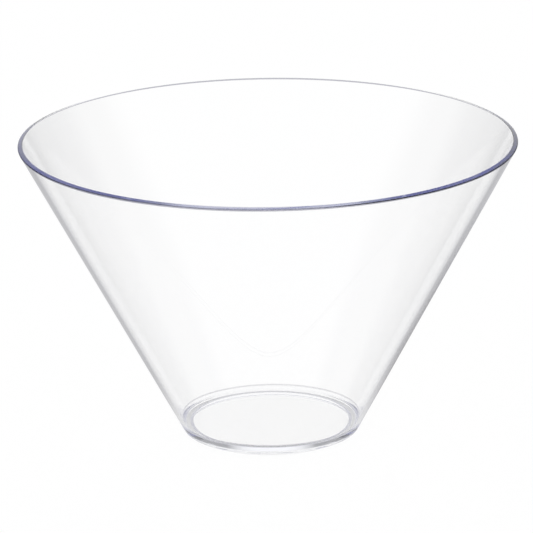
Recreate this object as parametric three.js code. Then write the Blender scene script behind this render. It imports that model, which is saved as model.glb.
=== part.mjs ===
// Conical bowl: one clear injection moulding, turned about its own axis.
// Millimetres, +Z up. The origin is on the table, at the middle of the foot.
import * as THREE from "three";

// Driving dimensions
const rimDiameter = 280; // across the lip's outer corner, before it is rounded
const bowlHeight = 170.9; // from the table to the lip's inner corner, before it is rounded
const baseDiameter = 100.5; // where the line of the outer wall meets the table
const wallAtFoot = 2.4; // thickness at the table, square to the outer wall
const wallAtLip = 2.9; // thickness at the top, square to the outer wall
const floorThickness = 2.7; // from the inside floor to the underside
const recessDepth = 3; // how far the underside is raised off the table
const footWidth = 3.6; // of the flat ring that stands on the table
const footEdgeRadius = 1.5; // outer edge of the foot
const recessEdgeRadius = 1.2; // where the foot turns into the recess
const recessCornerRadius = 1; // where the recess turns into the underside
const floorFilletRadius = 3; // where the inside floor turns up into the wall
const lipDrop = 0.8; // how much lower the lip's outer corner is than its inner corner
const lipOuterRadius = 0.6; // outer edge of the land on top of the wall
const lipInnerRadius = 0.4; // inner edge of that land

// How finely round stretches are divided
const turnSteps = 112; // around the axis
const arcStepDegrees = 15; // along a fillet

const rimRadius = rimDiameter / 2;
const baseRadius = baseDiameter / 2;
const lipOuterRound = Math.min(lipOuterRadius, wallAtLip / 2);
const lipInnerRound = Math.min(lipInnerRadius, wallAtLip / 4);

// The outer wall is a straight line from the base up to the lip's outer corner.
const outerHeight = bowlHeight - lipDrop;
const wallLean = Math.atan2(rimRadius - baseRadius, outerHeight);
const upTheWall = new THREE.Vector2(Math.sin(wallLean), Math.cos(wallLean));
const intoTheBowl = new THREE.Vector2(-upTheWall.y, upTheWall.x);
const wallLength = outerHeight / upTheWall.y;

// A point of the section, so far up the wall from the base and so deep into its thickness.
function wallPoint(up, depth) {
  return new THREE.Vector2(baseRadius, 0).addScaledVector(upTheWall, up).addScaledVector(intoTheBowl, depth);
}

// Where the inner face of the wall is at a height above the table. It leans a little less than
// the outer face, because the wall thickens towards the lip.
const innerLow = wallPoint(0, wallAtFoot);
const innerHigh = wallPoint(wallLength, wallAtLip);
function innerRadiusAt(height) {
  const share = (height - innerLow.y) / (innerHigh.y - innerLow.y);
  return THREE.MathUtils.lerp(innerLow.x, innerHigh.x, share);
}

// The corners of the section, from the underside's middle, round the outside and back to the axis.
const floorTop = recessDepth + floorThickness;
const footEdge = Math.tan(Math.PI / 4 - wallLean / 2) * footEdgeRadius;
const recessRadius = baseRadius - footEdge - footWidth;
const corners = [
  { at: new THREE.Vector2(0, recessDepth), radius: 0 },
  { at: new THREE.Vector2(recessRadius, recessDepth), radius: recessCornerRadius },
  { at: new THREE.Vector2(recessRadius, 0), radius: recessEdgeRadius },
  { at: new THREE.Vector2(baseRadius, 0), radius: footEdgeRadius },
  { at: wallPoint(wallLength, 0), radius: lipOuterRound },
  { at: new THREE.Vector2(innerRadiusAt(bowlHeight), bowlHeight), radius: lipInnerRound },
  { at: new THREE.Vector2(innerRadiusAt(floorTop), floorTop), radius: floorFilletRadius },
  { at: new THREE.Vector2(0, floorTop), radius: 0 },
];

// The outline through the corners, each one rounded by an arc that touches both of its sides.
function roundedOutline(corners) {
  return corners.flatMap(({ at, radius }, i) => {
    if (radius === 0) return [at];
    const back = corners[i - 1].at.clone().sub(at).normalize();
    const on = corners[i + 1].at.clone().sub(at).normalize();
    const halfAngle = Math.acos(back.dot(on)) / 2;
    const centre = back.clone().add(on).setLength(radius / Math.sin(halfAngle)).add(at);
    const start = at.clone().addScaledVector(back, radius / Math.tan(halfAngle)).sub(centre);
    const turn = Math.sign(on.cross(back)) * (Math.PI - 2 * halfAngle);
    const steps = Math.ceil(THREE.MathUtils.radToDeg(Math.abs(turn)) / arcStepDegrees);
    return Array.from({ length: steps + 1 }, (_, k) =>
      start.clone().rotateAround(new THREE.Vector2(), (turn * k) / steps).add(centre),
    );
  });
}

function bowlMoulding() {
  const geometry = new THREE.LatheGeometry(roundedOutline(corners), turnSteps);
  geometry.rotateX(Math.PI / 2); // the lathe turns about Y, the bowl stands along Z
  const clearPlastic = new THREE.MeshStandardMaterial({
    color: 0xeef1f8,
    roughness: 0.05,
    metalness: 0,
    transparent: true,
    opacity: 0.25,
  });
  const mesh = new THREE.Mesh(geometry, clearPlastic);
  mesh.name = "bowl_moulding";
  return mesh;
}

const bowl = new THREE.Group();
bowl.name = "conical_bowl";
bowl.add(bowlMoulding());

export default bowl;
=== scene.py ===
# %% [markdown]
# # A clear conical bowl
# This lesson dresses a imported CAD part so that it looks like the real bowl: one clear plastic
# moulding with a straight flared wall, a flat lip, a flat floor and a low ring foot. The CAD
# part comes first, because everything that is made here stands in its place and in its frame.

# %% The CAD frame
import math
import bmesh
import bpy
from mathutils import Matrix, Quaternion, Vector


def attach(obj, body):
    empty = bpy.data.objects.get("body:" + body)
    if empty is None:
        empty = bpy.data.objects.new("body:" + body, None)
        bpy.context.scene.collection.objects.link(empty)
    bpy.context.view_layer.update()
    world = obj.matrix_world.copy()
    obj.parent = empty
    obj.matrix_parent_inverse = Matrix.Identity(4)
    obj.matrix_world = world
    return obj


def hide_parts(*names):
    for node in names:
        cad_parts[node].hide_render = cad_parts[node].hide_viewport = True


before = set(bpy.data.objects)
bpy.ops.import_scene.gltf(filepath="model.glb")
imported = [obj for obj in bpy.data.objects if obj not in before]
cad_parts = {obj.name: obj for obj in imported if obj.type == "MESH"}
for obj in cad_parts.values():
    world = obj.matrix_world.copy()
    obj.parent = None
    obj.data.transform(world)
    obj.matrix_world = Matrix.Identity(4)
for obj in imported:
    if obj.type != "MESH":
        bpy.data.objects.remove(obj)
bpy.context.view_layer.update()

# %% [markdown]
# ## Sizes
# The bowl is a body of revolution, so its whole shape is one section that turns about the Z
# axis. These are the sizes of that section, the same ones that the CAD part has. They are
# written in millimetres because that is how a maker would read them off a drawing.

# %% Sizes of the section
MM = 0.001
rim_diameter = 280.0  # across the lip's outer corner, before it is rounded
bowl_height = 170.9  # to the lip's inner corner, before it is rounded
base_diameter = 100.5  # where the line of the outer wall meets the table
wall_at_foot = 2.4
wall_at_lip = 2.9
floor_thickness = 2.7
recess_depth = 3.0
foot_width = 3.6
foot_edge_radius = 1.5
recess_edge_radius = 1.2
recess_corner_radius = 1.0
floor_fillet_radius = 3.0
lip_drop = 0.8  # how much lower the lip's outer corner is than its inner corner
lip_outer_radius = 0.6
lip_inner_radius = 0.4

rim_radius = rim_diameter / 2
base_radius = base_diameter / 2
print("Bowl:", rim_diameter, "mm across,", bowl_height, "mm high")

# %% [markdown]
# ## The section
# A section is drawn as sharp corners first, and each corner then gets a fillet. The outer wall
# is a straight line from the base to the lip. The inner wall leans a little less, because the
# wall gets thicker towards the lip, and the lip slopes gently outwards. It would also be possible
# to draw the rounded outline by hand, but then every change of a radius would mean a new drawing.

# %% Corners of the section
def inner_wall_at(height, low, high):
    """Radius of the inner wall at a height, on the line from its low to its high point."""
    share = (height - low.y) / (high.y - low.y)
    return low.x + (high.x - low.x) * share


def section_corners():
    """Corners (radius, height) with their fillets, from under the floor's middle to its top."""
    outer_height = bowl_height - lip_drop
    lean = math.atan2(rim_radius - base_radius, outer_height)
    up = Vector((math.sin(lean), math.cos(lean)))
    inwards = Vector((-up.y, up.x))
    foot_corner = Vector((base_radius, 0))
    lip_corner = Vector((rim_radius, outer_height))
    inner_low = foot_corner + inwards * wall_at_foot
    inner_high = lip_corner + inwards * wall_at_lip
    floor_top = recess_depth + floor_thickness
    recess_radius = base_radius - math.tan(math.pi / 4 - lean / 2) * foot_edge_radius - foot_width
    inner_lip = Vector((inner_wall_at(bowl_height, inner_low, inner_high), bowl_height))
    floor_corner = Vector((inner_wall_at(floor_top, inner_low, inner_high), floor_top))
    return [
        (Vector((0, recess_depth)), 0),
        (Vector((recess_radius, recess_depth)), recess_corner_radius),
        (Vector((recess_radius, 0)), recess_edge_radius),
        (foot_corner, foot_edge_radius),
        (lip_corner, lip_outer_radius),
        (inner_lip, lip_inner_radius),
        (floor_corner, floor_fillet_radius),
        (Vector((0, floor_top)), 0),
    ]


corners = section_corners()
print("Section corners:", [(round(at.x, 2), round(at.y, 2), fillet) for at, fillet in corners])

# %% [markdown]
# ## Guard points
# Smooth shading blends the direction of a surface across each face. On clear plastic that
# matters: the long wall is one face from foot to lip, so without help it would bend light as if
# it were slightly bulged. A guard point just past each end of a fillet keeps the blend inside
# a strip that is too narrow to see, and the wall stays optically flat.

# %% Guard points beside each fillet
guard_gap = 0.15


def with_guards(corners, gap):
    """The same corners with a plain point just outside both ends of every fillet."""
    points = [corners[0]]
    for (before, _), (at, fillet), (after, _) in zip(corners, corners[1:], corners[2:]):
        back = (before - at).normalized()
        on = (after - at).normalized()
        reach = fillet / math.tan(back.angle(on) / 2) + gap
        points += [(at + back * reach, 0), (at, fillet), (at + on * reach, 0)]
    return points + [corners[-1]]


section_points = with_guards(corners, guard_gap)
print("Section points with guards:", len(section_points))

# %% [markdown]
# ## Adding nodes
# Geometry trees, materials, the floor and the world are all node trees. One small function adds
# a node, sets its options, and fills its inputs with plain values or with links.

# %% One function for every node
def add(tree, kind, settings={}, inputs={}):
    """Adds a node with its settings. An input takes a value, or the output that feeds it."""
    node = tree.nodes.new(kind)
    for name, value in settings.items():
        setattr(node, name, value)
    for name, value in inputs.items():
        if isinstance(value, bpy.types.NodeSocket):
            tree.links.new(value, node.inputs[name])
        else:
            node.inputs[name].default_value = value
    return node


def linear(hex_colour):
    """An sRGB hex colour as the linear RGBA that Blender's sockets take."""
    channels = [int(hex_colour[i:i + 2], 16) / 255 for i in (1, 3, 5)]
    flat = [c / 12.92 if c <= 0.04045 else ((c + 0.055) / 1.055) ** 2.4 for c in channels]
    return (*flat, 1.0)


print("Helpers: add() for nodes, linear() for colours")

# %% [markdown]
# ## The plastic
# The bowl is taken to be clear styrene acrylonitrile, a hard plastic that is moulded between
# polished steel faces. Its refractive index is near 1.57. To the eye it is colourless through the
# thin wall, and full transmission with a very weak blue absorption gives that. The absorption is
# too weak to make the lip blue by itself: most of that blue comes later, from the studio's colours.

# %% Clear moulded plastic
plastic_index = 1.57
absorbed_colour = "#6695f3"  # what is left of white light after a long way through the wall
absorption_per_metre = 0.6

plastic = bpy.data.materials.new("clear_styrene_acrylonitrile_moulded")
plastic.use_nodes = True
plastic_tree = plastic.node_tree
plastic_tree.nodes.clear()
print("Material:", plastic.name)

# %% [markdown]
# ## Painted dark lines
# Two grey lines are painted into the clear plastic as shade. One is inside, at the top of the floor's
# fillet, where refraction draws a dark line. The other is round the outer edge of the lip, for its
# darker reflection. Both are greyer and a little less glossy than the rest. Both are found by height and
# by distance from the axis, so they need no grooves in the mesh.

# %% Where the painted dark lines are
painted_line_height = 7.4  # painted shade: a line inside, where the floor's fillet ends
painted_line_half_width = 0.4
painted_line_within = 53.0  # the line is on the inner face, nearer the axis than this
lip_shade_from = 139.45  # painted shade on the lip's outer edge, further from the axis than this

place = add(plastic_tree, "ShaderNodeTexCoord").outputs["Object"]
place_axes = add(plastic_tree, "ShaderNodeSeparateXYZ", inputs={"Vector": place}).outputs
flat_place = add(plastic_tree, "ShaderNodeVectorMath", {"operation": "MULTIPLY"}, {
    0: place,
    1: (1, 1, 0),
})
from_axis = add(plastic_tree, "ShaderNodeVectorMath", {"operation": "LENGTH"}, {
    0: flat_place.outputs["Vector"],
})
at_painted_line_height = add(plastic_tree, "ShaderNodeMath", {"operation": "COMPARE"}, {
    0: place_axes["Z"],
    1: painted_line_height * MM,
    2: painted_line_half_width * MM,
})
on_inner_face = add(plastic_tree, "ShaderNodeMath", {"operation": "LESS_THAN"}, {
    0: from_axis.outputs["Value"],
    1: painted_line_within * MM,
})
painted_inner_line = add(plastic_tree, "ShaderNodeMath", {"operation": "MULTIPLY"}, {
    0: at_painted_line_height.outputs["Value"],
    1: on_inner_face.outputs["Value"],
})
painted_lip_edge = add(plastic_tree, "ShaderNodeMath", {"operation": "GREATER_THAN"}, {
    0: from_axis.outputs["Value"],
    1: lip_shade_from * MM,
})
painted_line_mask = add(plastic_tree, "ShaderNodeMath", {"operation": "MAXIMUM"}, {
    0: painted_inner_line.outputs["Value"],
    1: painted_lip_edge.outputs["Value"],
})
print("Dull lines: inside at", painted_line_height, "mm, and round the lip")

# %% Colour of the painted dark lines
# painted shade: grey for the dark line that refraction draws at the fillet's top
painted_line_colour = "#c4c4c8"
# painted shade: grey for the darker reflection on the rounded lip edge
painted_lip_shade = "#8c8c98"

with_painted_line = add(plastic_tree, "ShaderNodeMixRGB", inputs={
    "Fac": painted_inner_line.outputs["Value"],
    "Color1": linear("#ffffff"),
    "Color2": linear(painted_line_colour),
})
clear_with_painted_shade = add(plastic_tree, "ShaderNodeMixRGB", inputs={
    "Fac": painted_lip_edge.outputs["Value"],
    "Color1": with_painted_line.outputs["Color"],
    "Color2": linear(painted_lip_shade),
})
print("Lines tinted", painted_line_colour, "and", painted_lip_shade)

# %% [markdown]
# ## Scuffs and waviness
# The foot slides on tables and gets scuffed, so noise makes its resting face rougher. Moulded
# plastic is never quite flat as it cools, and a very weak bump stands for that. A stronger bump
# would make the straight lines seen through the wall wobble.

# %% Roughness and bump
dull_roughness = 0.03
foot_scuff_height = 0.2
foot_roughness = 0.3
scuff_scale = 900.0
scuff_detail = 4.0
waviness_scale = 40.0
waviness_strength = 0.002

scuffs = add(plastic_tree, "ShaderNodeTexNoise", inputs={
    "Vector": place,
    "Scale": scuff_scale,
    "Detail": scuff_detail,
})
on_foot = add(plastic_tree, "ShaderNodeMath", {"operation": "LESS_THAN"}, {
    0: place_axes["Z"],
    1: foot_scuff_height * MM,
})
foot_dullness = add(plastic_tree, "ShaderNodeMath", {"operation": "MULTIPLY"}, {
    0: on_foot.outputs["Value"],
    1: scuffs.outputs["Fac"],
})
painted_line_dullness = add(plastic_tree, "ShaderNodeMath", {"operation": "MULTIPLY"}, {
    0: painted_line_mask.outputs["Value"],
    1: dull_roughness,
})
dullness = add(plastic_tree, "ShaderNodeMath", {"operation": "MULTIPLY_ADD"}, {
    0: foot_dullness.outputs["Value"],
    1: foot_roughness,
    2: painted_line_dullness.outputs["Value"],
})
waves = add(plastic_tree, "ShaderNodeTexNoise", inputs={"Vector": place, "Scale": waviness_scale})
wavy_normal = add(plastic_tree, "ShaderNodeBump", inputs={
    "Height": waves.outputs["Fac"],
    "Strength": waviness_strength,
    "Distance": 1.0 * MM,
})
print("Foot roughness up to", foot_roughness, "with scuffs")

# %% The finished plastic
surface = add(plastic_tree, "ShaderNodeBsdfPrincipled", inputs={
    # the base colour carries the painted dark lines
    "Base Color": clear_with_painted_shade.outputs["Color"],
    "Roughness": dullness.outputs["Value"],
    "IOR": plastic_index,
    "Transmission Weight": 1.0,
    "Normal": wavy_normal.outputs["Normal"],
})
body = add(plastic_tree, "ShaderNodeVolumeAbsorption", inputs={
    "Color": linear(absorbed_colour),
    "Density": absorption_per_metre,
})
add(plastic_tree, "ShaderNodeOutputMaterial", inputs={
    "Surface": surface.outputs["BSDF"],
    "Volume": body.outputs["Volume"],
})
print("Plastic:", len(plastic_tree.nodes), "nodes")

# %% [markdown]
# ## The lathe
# Geometry Nodes turn the section into the bowl. The section is a plain line whose point radius
# holds the fillet, so one Fillet Curve node rounds every corner. A circle with the rim's radius
# is the path, and Curve to Mesh carries the section round it. The Screw modifier could turn a
# line too, but it can't round the corners on the way.

# %% The section as a line
section_line = bpy.data.curves.new("bowl_section", "CURVE")
section_line.dimensions = "3D"
spline = section_line.splines.new("POLY")
spline.points.add(len(section_points) - 1)
for point, (at, fillet) in zip(spline.points, section_points):
    # measured from the path, which is at the rim and carries the section's +Y downwards
    point.co = ((at.x - rim_radius) * MM, -at.y * MM, 0, 1)
    point.radius = fillet * MM
section_object = bpy.data.objects.new("bowl_section", section_line)
bpy.context.scene.collection.objects.link(section_object)
print("Section line:", len(spline.points), "points")

# %% The lathe's node tree
lathe = bpy.data.node_groups.new("bowl_lathe", "GeometryNodeTree")
lathe.interface.new_socket("Section", in_out="INPUT", socket_type="NodeSocketGeometry")
lathe_inputs = {
    "Rim Radius": ("NodeSocketFloat", rim_radius * MM),
    "Turn Steps": ("NodeSocketInt", 512),
    "Fillet Steps": ("NodeSocketInt", 12),
    "Merge Distance": ("NodeSocketFloat", 0.002 * MM),
    "Plastic": ("NodeSocketMaterial", plastic),
}
identifiers = {}
for name, (kind, _) in lathe_inputs.items():
    identifiers[name] = lathe.interface.new_socket(name, in_out="INPUT", socket_type=kind).identifier
lathe.interface.new_socket("Bowl", in_out="OUTPUT", socket_type="NodeSocketGeometry")

sizes = add(lathe, "NodeGroupInput").outputs
fillet_radius = add(lathe, "GeometryNodeInputRadius")
rounded = add(lathe, "GeometryNodeFilletCurve", {"mode": "POLY"}, {
    "Curve": sizes["Section"],
    "Count": sizes["Fillet Steps"],
    "Radius": fillet_radius.outputs["Radius"],
})
path = add(lathe, "GeometryNodeCurvePrimitiveCircle", inputs={
    "Resolution": sizes["Turn Steps"],
    "Radius": sizes["Rim Radius"],
})
turned = add(lathe, "GeometryNodeCurveToMesh", inputs={
    "Curve": path.outputs["Curve"],
    "Profile Curve": rounded.outputs["Curve"],
})
closed = add(lathe, "GeometryNodeMergeByDistance", inputs={
    "Geometry": turned.outputs["Mesh"],
    "Distance": sizes["Merge Distance"],
})
smooth = add(lathe, "GeometryNodeSetShadeSmooth", inputs={"Geometry": closed.outputs["Geometry"]})
realized = add(lathe, "GeometryNodeRealizeInstances", inputs={"Geometry": smooth.outputs["Geometry"]})
coated = add(lathe, "GeometryNodeSetMaterial", inputs={
    "Geometry": realized.outputs["Geometry"],
    "Material": sizes["Plastic"],
})
add(lathe, "NodeGroupOutput", inputs={"Bowl": coated.outputs["Geometry"]})
print("Lathe tree:", len(lathe.nodes), "nodes")

# %% Turning the bowl
turning = section_object.modifiers.new("turning", "NODES")
turning.node_group = lathe
for name, (_, value) in lathe_inputs.items():
    turning[identifiers[name]] = value
section_object.update_tag()
depsgraph = bpy.context.evaluated_depsgraph_get()
bowl_mesh = bpy.data.meshes.new_from_object(section_object.evaluated_get(depsgraph))
section_object.modifiers.remove(turning)
bpy.data.objects.remove(section_object)

shell = bmesh.new()
shell.from_mesh(bowl_mesh)
bmesh.ops.recalc_face_normals(shell, faces=shell.faces)
open_edges = sum(1 for edge in shell.edges if not edge.is_manifold)
volume = shell.calc_volume(signed=True)
shell.to_mesh(bowl_mesh)
shell.free()
bowl_mesh.name = "bowl"
bowl = bpy.data.objects.new("bowl", bowl_mesh)
bpy.context.scene.collection.objects.link(bowl)
triangles = sum(len(face.vertices) - 2 for face in bowl_mesh.polygons)
print("Bowl:", triangles, "triangles,", open_edges, "open edges,", round(volume * 1e6, 1), "cm3")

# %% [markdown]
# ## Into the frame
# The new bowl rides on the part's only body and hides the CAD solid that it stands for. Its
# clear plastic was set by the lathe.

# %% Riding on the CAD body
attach(bowl, "root")
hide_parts("bowl_moulding")
print("Bowl rides on root and replaces bowl_moulding")

# %% [markdown]
# ## The floor
# Clear things have no colour of their own: they show what is around them. The floor looks plain
# white to the camera and straight through the plastic. Light that the plastic has reflected sees
# grey wedges on it, one on either side behind the bowl, and they draw the grey line down both
# sides of the wall. Grey cards in a studio would do this for every ray, and would be in the picture.

# %% The wedges on the floor
wedges_start = 20.0  # from the middle of the floor, and where the wedges are full
wedges_full = 54.0
wedges_front = -60.0  # they fade in from front to back between these two places
wedges_back = 60.0
any_reflection = 0.5
wedge_tip = Vector((0, -0.1, 0))  # the wedges open backwards from a point in front of the bowl
wedges = [  # degrees to either side of straight back, and the colour there
    (180, "#f6f6f6"),
    (60, "#f4f4f4"),
    (44, "#f8f8f8"),
    (34, "#c2c2c4"),
    (24, "#c6c6c8"),
    (18, "#eaeaec"),
    (12, "#ffffff"),
]


def set_stops(ramp, stops):
    """Places the stops of a colour ramp, given as degrees away from straight back."""
    while len(ramp.elements) < len(stops):
        ramp.elements.new(1.0)
    for element, (degrees, colour) in zip(ramp.elements, stops):
        element.position = (math.cos(math.radians(degrees)) + 1) / 2
        element.color = linear(colour)


floor_paint = bpy.data.materials.new("white_studio_floor")
floor_paint.use_nodes = True
floor_tree = floor_paint.node_tree
floor_tree.nodes.clear()
floor_ray = add(floor_tree, "ShaderNodeLightPath").outputs
floor_place = add(floor_tree, "ShaderNodeNewGeometry").outputs["Position"]
from_tip = add(floor_tree, "ShaderNodeVectorMath", {"operation": "SUBTRACT"}, {
    0: floor_place,
    1: wedge_tip,
})
floor_heading = add(floor_tree, "ShaderNodeVectorMath", {"operation": "NORMALIZE"}, {
    0: from_tip.outputs["Vector"],
})
floor_axes = add(floor_tree, "ShaderNodeSeparateXYZ", inputs={"Vector": floor_heading.outputs["Vector"]})
along_wedges = add(floor_tree, "ShaderNodeMapRange", inputs={
    "Value": floor_axes.outputs["Y"],
    "From Min": -1.0,
    "From Max": 1.0,
})
studio_colour = add(floor_tree, "ShaderNodeValToRGB", inputs={"Fac": along_wedges.outputs["Result"]})
set_stops(studio_colour.color_ramp, wedges)
from_middle = add(floor_tree, "ShaderNodeVectorMath", {"operation": "LENGTH"}, {0: floor_place})
beside_foot = add(floor_tree, "ShaderNodeMapRange", {"interpolation_type": "SMOOTHSTEP"}, {
    "Value": from_middle.outputs["Value"],
    "From Min": wedges_start * MM,
    "From Max": wedges_full * MM,
})
reflected = add(floor_tree, "ShaderNodeMath", {"operation": "GREATER_THAN"}, {
    0: floor_ray["Glossy Depth"],
    1: any_reflection,
})
floor_xyz = add(floor_tree, "ShaderNodeSeparateXYZ", inputs={"Vector": floor_place})
behind_front = add(floor_tree, "ShaderNodeMapRange", {"interpolation_type": "SMOOTHSTEP"}, {
    "Value": floor_xyz.outputs["Y"],
    "From Min": wedges_front * MM,
    "From Max": wedges_back * MM,
})
wedge_place = add(floor_tree, "ShaderNodeMath", {"operation": "MULTIPLY"}, {
    0: beside_foot.outputs["Result"],
    1: behind_front.outputs["Result"],
})
wedge_share = add(floor_tree, "ShaderNodeMath", {"operation": "MULTIPLY"}, {
    0: wedge_place.outputs["Value"],
    1: reflected.outputs["Value"],
})
seen_colour = add(floor_tree, "ShaderNodeMixRGB", inputs={
    "Fac": wedge_share.outputs["Value"],
    "Color1": linear("#ffffff"),
    "Color2": studio_colour.outputs["Color"],
})
print("Wedges:", len(wedges), "stops")

# %% [markdown]
# ## Shade under the bowl
# The floor is a little darker under the recess, and darker still where the foot touches it. Most
# of the floor's white is steady light, which takes no shadow, so this shade is written into it.
# A small diffuse part is kept, so that the floor also catches the bowl's own faint shadow.

# %% Shade and contact
floor_albedo = 0.05  # the part of the white that goes dark in a shadow
open_light = 0.88  # what an open floor gets from the studio, where 1 is white all round
shade_full = 43.0  # the soft shade under the recess, its radius and where it ends
shade_ends = 46.5
shade_level = 0.9
contact_radius = 48.0  # the dark ring where the foot touches the floor
contact_half_width = 1.6
contact_shade = 0.5

under_bowl = add(floor_tree, "ShaderNodeMapRange", {"interpolation_type": "SMOOTHSTEP"}, {
    "Value": from_middle.outputs["Value"],
    "From Min": shade_full * MM,
    "From Max": shade_ends * MM,
    "To Min": shade_level,
    "To Max": 1.0,
})
contact = add(floor_tree, "ShaderNodeMath", {"operation": "COMPARE"}, {
    0: from_middle.outputs["Value"],
    1: contact_radius * MM,
    2: contact_half_width * MM,
})
with_contact = add(floor_tree, "ShaderNodeMath", {"operation": "MULTIPLY_ADD"}, {
    0: contact.outputs["Value"],
    1: -contact_shade,
    2: under_bowl.outputs["Result"],
})
steady_level = add(floor_tree, "ShaderNodeMath", {"operation": "SUBTRACT"}, {
    0: with_contact.outputs["Value"],
    1: floor_albedo * open_light,
})
print("Shade:", shade_level, "under the recess")

# %% [markdown]
# ## Light that ran inside the plastic
# Some light is reflected several times inside the plastic before it leaves. The floor and the
# studio take other colours for it: neutral after a few reflections, which is mostly the foot,
# and blue after more, which is mostly the lip. This is a picture maker's help, set by
# measuring. Real plastic would get that blue from its own absorption.

# %% The floor as that light sees it
guided_after = 2.5  # reflections, after which light counts as having run inside the plastic
tinted_after = 4.5  # reflections, after which it is also tinted blue
guided_floor = "#d2d1dc"

floor_guided = add(floor_tree, "ShaderNodeMath", {"operation": "GREATER_THAN"}, {
    0: floor_ray["Glossy Depth"],
    1: guided_after,
})
floor_tint_share = add(floor_tree, "ShaderNodeMath", {"operation": "GREATER_THAN"}, {
    0: floor_ray["Glossy Depth"],
    1: tinted_after,
})
floor_tint = add(floor_tree, "ShaderNodeHueSaturation", inputs={
    "Saturation": floor_tint_share.outputs["Value"],
    "Color": linear(guided_floor),
})
floor_colour = add(floor_tree, "ShaderNodeMixRGB", {"blend_type": "MULTIPLY"}, {
    "Fac": floor_guided.outputs["Value"],
    "Color1": seen_colour.outputs["Color"],
    "Color2": floor_tint.outputs["Color"],
})
print("Guided floor:", guided_floor)

# %% The finished floor
floor_radius = 4.0
floor_gap = 0.05  # a hair below the foot, so that the two faces don't share a plane

steady = add(floor_tree, "ShaderNodeEmission", inputs={
    "Color": floor_colour.outputs["Color"],
    "Strength": steady_level.outputs["Value"],
})
shaded = add(floor_tree, "ShaderNodeBsdfDiffuse", inputs={
    "Color": (floor_albedo, floor_albedo, floor_albedo, 1),
})
floor_look = add(floor_tree, "ShaderNodeAddShader", inputs={
    0: steady.outputs["Emission"],
    1: shaded.outputs["BSDF"],
})
add(floor_tree, "ShaderNodeOutputMaterial", inputs={"Surface": floor_look.outputs["Shader"]})

disc = bmesh.new()
bmesh.ops.create_circle(disc, cap_ends=True, segments=96, radius=floor_radius)
floor_mesh = bpy.data.meshes.new("floor")
disc.to_mesh(floor_mesh)
disc.free()
floor_mesh.materials.append(floor_paint)
floor = bpy.data.objects.new("floor", floor_mesh)
bpy.context.scene.collection.objects.link(floor)
floor.location.z = -floor_gap * MM
print("Floor:", floor_radius, "m disc")

# %% [markdown]
# ## The studio
# The world stands for the studio: a broad soft light overhead, a white backdrop behind the bowl,
# a grey flag on each side of the backdrop, pale walls to the left and right, and a dark blue room
# behind the camera. Clear plastic needs those darker places, because they draw its edges. A photo
# of a studio could do this too, but a ramp around the horizon is easier to adjust.

# %% The studio
overhead_starts = math.sin(math.radians(25))
overhead_full = math.sin(math.radians(31))
surround = [  # degrees to either side of the middle of the backdrop, and the colour there
    (180, "#2a3050"),
    (120, "#5a6080"),
    (95, "#cbcbcb"),
    (74, "#c4c4c4"),
    (62, "#808084"),
    (47, "#808084"),
    (38, "#9a9a9c"),
    (24, "#a0a0a2"),
    (14, "#f4f4f4"),
    (7, "#ffffff"),
]

studio = bpy.data.worlds.new("studio")
bpy.context.scene.world = studio
studio.use_nodes = True
sky = studio.node_tree
sky.nodes.clear()
sky_ray = add(sky, "ShaderNodeLightPath").outputs
towards = add(sky, "ShaderNodeTexCoord").outputs["Generated"]
level_part = add(sky, "ShaderNodeVectorMath", {"operation": "MULTIPLY"}, {0: towards, 1: (1, 1, 0)})
heading = add(sky, "ShaderNodeVectorMath", {"operation": "NORMALIZE"}, {0: level_part.outputs["Vector"]})
heading_axes = add(sky, "ShaderNodeSeparateXYZ", inputs={"Vector": heading.outputs["Vector"]})
towards_axes = add(sky, "ShaderNodeSeparateXYZ", inputs={"Vector": towards})
along_ramp = add(sky, "ShaderNodeMapRange", inputs={
    "Value": heading_axes.outputs["Y"],
    "From Min": -1.0,
    "From Max": 1.0,
})
round_about = add(sky, "ShaderNodeValToRGB", inputs={"Fac": along_ramp.outputs["Result"]})
set_stops(round_about.color_ramp, surround)
overhead = add(sky, "ShaderNodeMapRange", {"interpolation_type": "SMOOTHSTEP"}, {
    "Value": towards_axes.outputs["Z"],
    "From Min": overhead_starts,
    "From Max": overhead_full,
})
lit_colour = add(sky, "ShaderNodeMixRGB", inputs={
    "Fac": overhead.outputs["Result"],
    "Color1": round_about.outputs["Color"],
    "Color2": linear("#ffffff"),
})
print("Studio: overhead light and", len(surround), "stops around the horizon")

# %% [markdown]
# ## The studio as guided light sees it
# This is the studio's half of the help that the floor has. It is why most of the lip is navy.

# %% Guided light in the studio
guided_surround = [  # degrees from the middle of the backdrop, as above
    (180, "#14248c"),
    (110, "#14248c"),
    (90, "#b0b4d0"),
    (0, "#d8d8e4"),
]
foot_surround = "#383838"  # for light with only a few reflections

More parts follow.
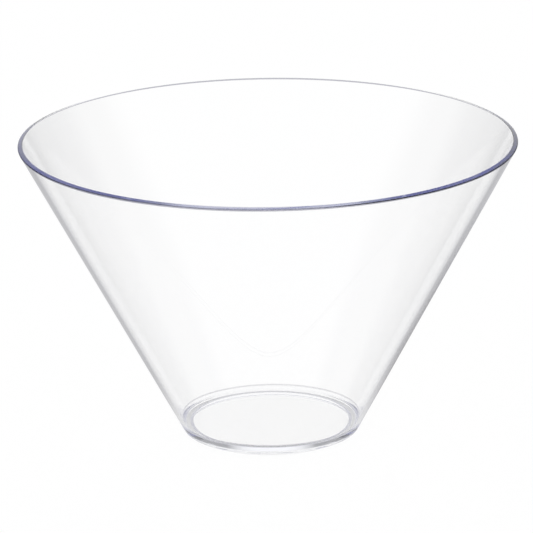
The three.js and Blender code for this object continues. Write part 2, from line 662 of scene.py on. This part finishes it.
long_guided = add(sky, "ShaderNodeMath", {"operation": "GREATER_THAN"}, {
    0: sky_ray["Glossy Depth"],
    1: guided_after,
})
guided_about = add(sky, "ShaderNodeValToRGB", inputs={"Fac": along_ramp.outputs["Result"]})
set_stops(guided_about.color_ramp, guided_surround)
sky_tint_share = add(sky, "ShaderNodeMath", {"operation": "GREATER_THAN"}, {
    0: sky_ray["Glossy Depth"],
    1: tinted_after,
})
sky_tint = add(sky, "ShaderNodeMixRGB", inputs={
    "Fac": sky_tint_share.outputs["Value"],
    "Color1": linear(foot_surround),
    "Color2": guided_about.outputs["Color"],
})
guided_colour = add(sky, "ShaderNodeMixRGB", inputs={
    "Fac": long_guided.outputs["Value"],
    "Color1": lit_colour.outputs["Color"],
    "Color2": sky_tint.outputs["Color"],
})
sky_colour = add(sky, "ShaderNodeMixRGB", inputs={
    "Fac": sky_ray["Is Camera Ray"],
    "Color1": guided_colour.outputs["Color"],
    "Color2": linear("#ffffff"),
})
backing = add(sky, "ShaderNodeBackground", inputs={"Color": sky_colour.outputs["Color"]})
add(sky, "ShaderNodeOutputWorld", inputs={"Surface": backing.outputs["Background"]})
print("World:", len(sky.nodes), "nodes")

# %% [markdown]
# ## Light inside the wall
# Light that enters the wall at a low angle stays in it and bounces between its two faces, up to
# dozens of times before it leaves at the lip. Cycles gives up after a dozen bounces by default
# and would paint those places black, so the limits go up.

# %% Bounce limits
bounces = 96
cycles = bpy.context.scene.cycles
cycles.max_bounces = bounces
cycles.glossy_bounces = bounces
cycles.transmission_bounces = bounces
cycles.blur_glossy = 0.0
print("Bounces:", bounces)

# %% [markdown]
# ## The camera
# The camera looks down at the bowl from a long way off with a long lens, as product
# photographers do, so the sides look straight. The numbers come from matching the outlines of
# the lip, the wall and the foot in a picture of 533 by 533 pixels.

# %% The camera
picture_size = 533
camera_distance = 13 * rim_radius * MM
aim_height = 85.25
camera_elevation = math.radians(17.79)
camera_roll = math.radians(0.71)
focal_pixels = 3205.8
middle_across = 269.57  # where the point that the camera looks at falls in the picture
middle_down = 283.37

lens = bpy.data.cameras.new("camera")
lens.sensor_width = 36
lens.lens = lens.sensor_width * focal_pixels / picture_size
lens.shift_x = (picture_size / 2 - middle_across) / picture_size
lens.shift_y = (middle_down - picture_size / 2) / picture_size
lens.clip_end = 100
camera = bpy.data.objects.new("camera", lens)
bpy.context.scene.collection.objects.link(camera)
looking = Vector((0, math.cos(camera_elevation), -math.sin(camera_elevation)))
camera.location = Vector((0, 0, aim_height * MM)) - looking * camera_distance
camera.rotation_mode = "QUATERNION"
camera.rotation_quaternion = looking.to_track_quat("-Z", "Y") @ Quaternion((0, 0, 1), -camera_roll)
bpy.context.scene.camera = camera
bpy.context.scene.view_settings.view_transform = "Standard"
print("Camera:", round(camera_distance, 2), "m away,", round(lens.lens), "mm lens")
